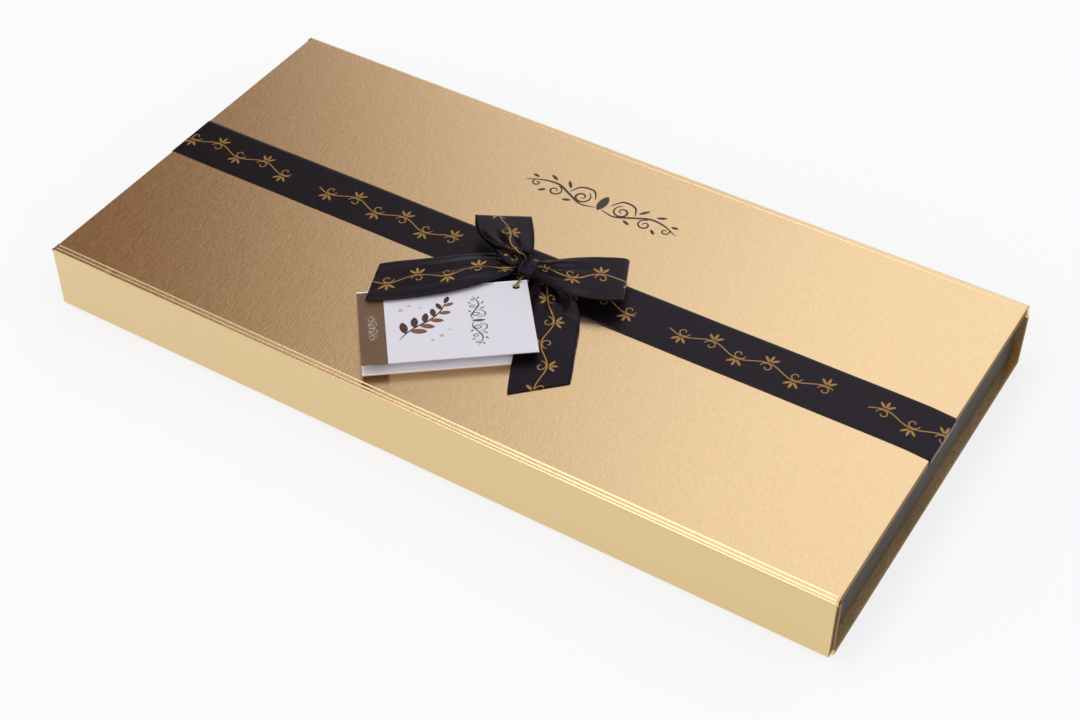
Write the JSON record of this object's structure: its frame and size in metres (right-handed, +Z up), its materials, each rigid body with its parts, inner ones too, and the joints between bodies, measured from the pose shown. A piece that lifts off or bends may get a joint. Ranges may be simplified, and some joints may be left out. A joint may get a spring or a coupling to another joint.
{
  "type": "chocolate box",
  "caption": "Flat book-style gift box with a hinged lid, a magnetic front flap, a ribbon band with a tied bow, a folded tag on a cord, and filled chocolate inserts.",
  "frame": {"origin": "middle of the base's underside, on the surface that the box rests on", "axes": "+X along the box's long side to the right seen from the flap, +Y from the flap to the spine, +Z up"},
  "size_m": [0.354, 0.1768, 0.039],
  "materials": {
    "gold_paper": "satin",
    "black_paper": "matt",
    "board": "matt",
    "pad_paper": "satin",
    "ribbon_satin": "satin",
    "tag_card": "satin",
    "cord_thread": "metallic thread",
    "magnet": "plated",
    "steel": "bare",
    "insert_film": "gloss",
    "milk_chocolate": "satin",
    "dark_chocolate": "satin",
    "white_chocolate": "satin"
  },
  "bodies": {
    "case": {"base_board": "board", "base_wrap": "gold_paper", "front_wall_board": "board", "front_wall_wrap": "gold_paper", "front_wall_discs": "steel", "spine_board": "board", "spine_wrap": "gold_paper", "tray_floor_board": "board", "tray_near_board": "board", "tray_far_board": "board", "tray_left_board": "board", "tray_right_board": "board", "tray_wrap": "black_paper", "tray_lining": "black_paper", "insert_left": "insert_film", "insert_right": "insert_film", "chocolate_squares": "milk_chocolate", "chocolate_domes": "dark_chocolate", "chocolate_bars": "milk_chocolate", "chocolate_hearts": "white_chocolate", "chocolate_fluted_cups": "dark_chocolate", "chocolate_truffles": "dark_chocolate", "chocolate_ovals": "white_chocolate", "chocolate_pyramids": "milk_chocolate"},
    "lid": {"lid_board": "board", "lid_wrap": "gold_paper", "lid_lining": "gold_paper", "lid_pad": "pad_paper", "lid_hinge_strip": "gold_paper", "bow_knot": "ribbon_satin", "bow_loop_left": "ribbon_satin", "bow_loop_right": "ribbon_satin", "bow_tail_left": "ribbon_satin", "bow_tail_right": "ribbon_satin", "ribbon_band": "ribbon_satin", "tag_back_leaf": "tag_card", "tag_cord": "cord_thread"},
    "flap": {"flap_board": "board", "flap_wrap": "gold_paper", "flap_lining": "gold_paper", "flap_magnets": "magnet", "flap_hinge_strip": "gold_paper"},
    "tag_leaf": {"tag_front_leaf": "tag_card"}
  },
  "joints": [
    {"name": "lid_hinge", "type": "hinge", "parent": "case", "child": "lid", "pos_m": [0, 0.0864, 0.0285], "axis": [-1, 0, 0], "range_deg": [0, 180], "deforming": ["lid_hinge_strip"]},
    {"name": "flap_hinge", "type": "hinge", "parent": "lid", "child": "flap", "pos_m": [0, -0.08814, 0.02974], "axis": [-1, 0, 0], "range_deg": [0, 120], "deforming": ["flap_hinge_strip"]},
    {"name": "tag_fold", "type": "hinge", "parent": "lid", "child": "tag_leaf", "pos_m": [-0.02615, -0.02655, 0.032], "axis": [-0.7869, -0.617, 0], "range_deg": [-1.5, 7], "stiffness_Nm_per_rad": 0.01, "springref_deg": 1.2}
  ]
}
